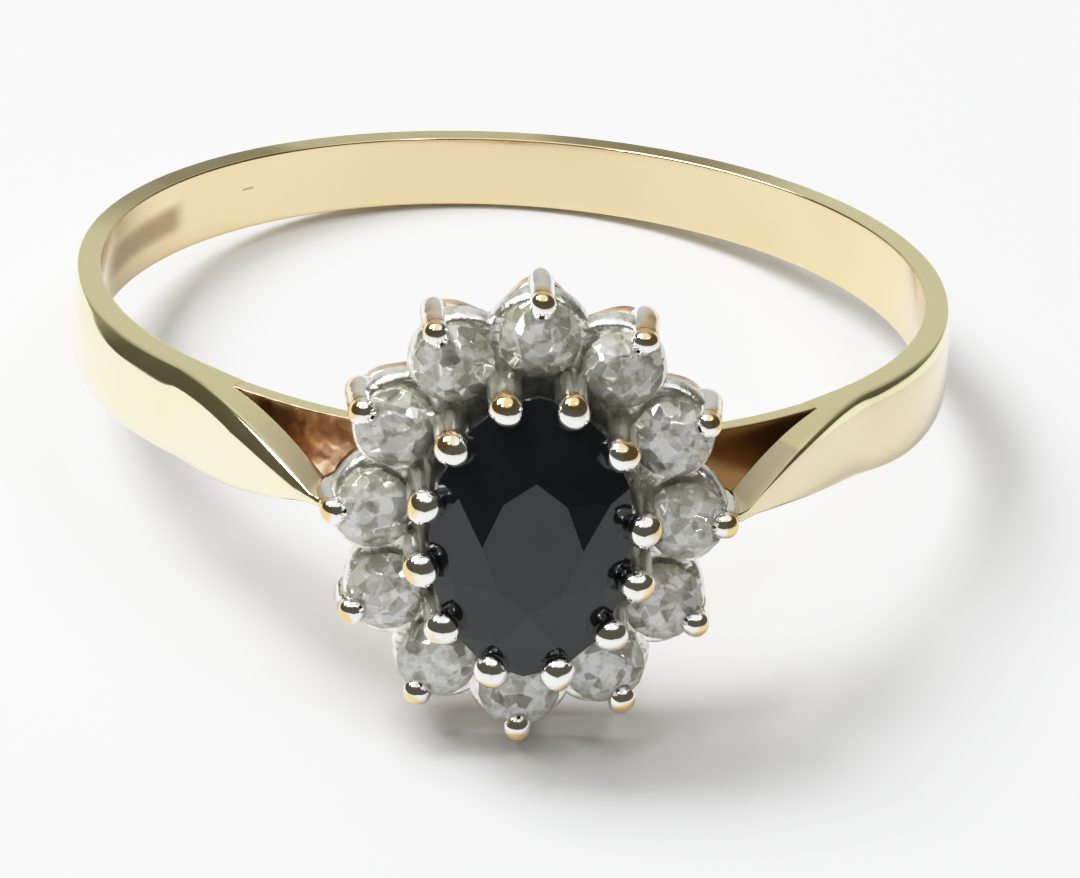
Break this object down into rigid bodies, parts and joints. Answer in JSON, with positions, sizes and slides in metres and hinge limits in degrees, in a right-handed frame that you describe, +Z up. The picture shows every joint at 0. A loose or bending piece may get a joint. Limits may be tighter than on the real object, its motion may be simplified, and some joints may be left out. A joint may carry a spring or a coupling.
{
  "type": "cluster ring",
  "caption": "Gold cluster ring: an oval dark blue stone in beaded claws inside a halo of small round stones, on a plain band with forked shoulders.",
  "frame": {"origin": "centre of the lying ring's bounding box, at the surface it rests on", "axes": "+Z up from the surface, -Y towards the head, X across the head; the finger hole's axis leans back from +Z in the YZ plane"},
  "size_m": [0.0184, 0.022, 0.0099],
  "materials": {
    "gold": "polished gold, the head plated white",
    "sapphire": "faceted and polished, very dark blue",
    "diamond": "faceted and polished"
  },
  "bodies": {
    "root": {"shank_and_setting": "gold", "centre_stone": "sapphire", "diamond_1": "diamond", "diamond_2": "diamond", "diamond_3": "diamond", "diamond_4": "diamond", "diamond_5": "diamond", "diamond_6": "diamond", "diamond_7": "diamond", "diamond_8": "diamond", "diamond_9": "diamond", "diamond_10": "diamond", "diamond_11": "diamond", "diamond_12": "diamond"}
  },
  "joints": []
}
